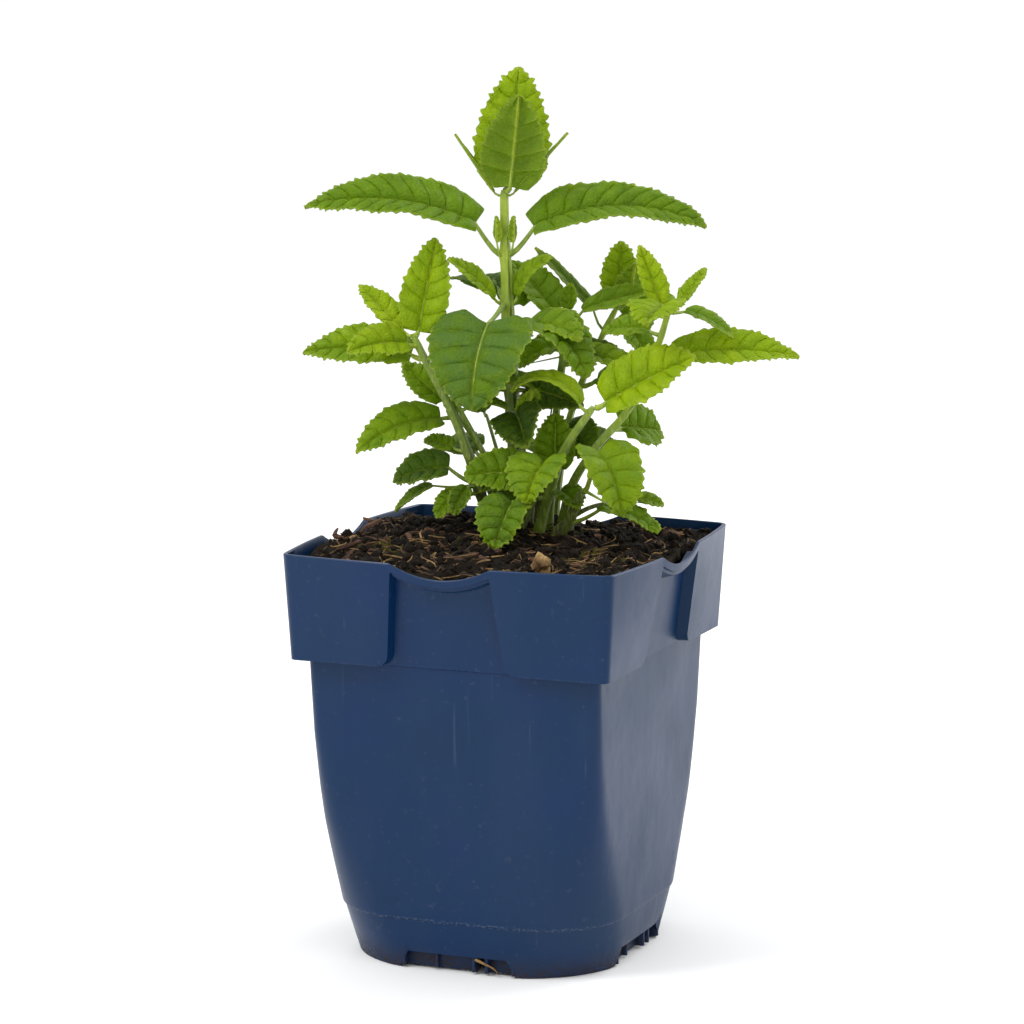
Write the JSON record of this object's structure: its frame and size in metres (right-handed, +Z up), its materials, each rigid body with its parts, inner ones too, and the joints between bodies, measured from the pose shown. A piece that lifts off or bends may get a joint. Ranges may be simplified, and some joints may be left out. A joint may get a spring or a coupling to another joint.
{
  "type": "potted catmint plant",
  "caption": "Young catmint plant with toothed leaves on branching stems, growing in compost in a square tapered nursery pot with a scooped rim band and notched foot.",
  "frame": {"origin": "on the surface the pot stands on, under the middle of the whole object's extent", "axes": "+Z up; -Y out of the pot's front face; +X to the right of that face"},
  "size_m": [0.148, 0.112, 0.2663],
  "materials": {
    "plastic": "dark blue moulded plastic with a soft sheen",
    "compost": "dark brown crumbly compost with fibres and bark",
    "stem": "soft green four-sided stem with short hairs",
    "leaf": "green, puckered, softly hairy leaf"
  },
  "bodies": {
    "root": {"leaf_arch_left": "leaf", "leaf_big_round": "leaf", "leaf_broad_left": "leaf", "leaf_broad_right": "leaf", "leaf_bud_left": "leaf", "leaf_bud_right": "leaf", "leaf_crest_back": "leaf", "leaf_crest_front": "leaf", "leaf_crest_right": "leaf", "leaf_dark_left": "leaf", "leaf_deep_left": "leaf", "leaf_deep_right": "leaf", "leaf_far_front": "leaf", "leaf_far_long": "leaf", "leaf_far_slim": "leaf", "leaf_far_tip": "leaf", "leaf_far_up": "leaf", "leaf_fork_left": "leaf", "leaf_fork_middle": "leaf", "leaf_fork_right": "leaf", "leaf_front_up": "leaf", "leaf_long_left": "leaf", "leaf_low_point": "leaf", "leaf_low_round": "leaf", "leaf_main_drop": "leaf", "leaf_mid_back": "leaf", "leaf_mid_front": "leaf", "leaf_mid_left": "leaf", "leaf_mid_right": "leaf", "leaf_middle_low": "leaf", "leaf_over_left": "leaf", "leaf_pair_left": "leaf", "leaf_peak_left": "leaf", "leaf_round_front": "leaf", "leaf_slim_left": "leaf", "leaf_slim_low": "leaf", "leaf_small_left": "leaf", "leaf_tall_left": "leaf", "leaf_top_back": "leaf", "leaf_top_front": "leaf", "leaf_top_left": "leaf", "leaf_top_right": "leaf", "leaf_under_right": "leaf", "leaf_upper_left": "leaf", "leaf_upper_right": "leaf", "leaf_wing_left": "leaf", "leaf_wing_low": "leaf", "leaf_wing_middle": "leaf", "leaf_wing_right": "leaf", "pot": "plastic", "soil": "compost", "stem_back_right": "stem", "stem_far_right": "stem", "stem_front": "stem", "stem_left": "stem", "stem_low_front": "stem", "stem_low_right": "stem", "stem_main": "stem", "stem_middle": "stem", "stem_thin_left": "stem"}
  },
  "joints": []
}
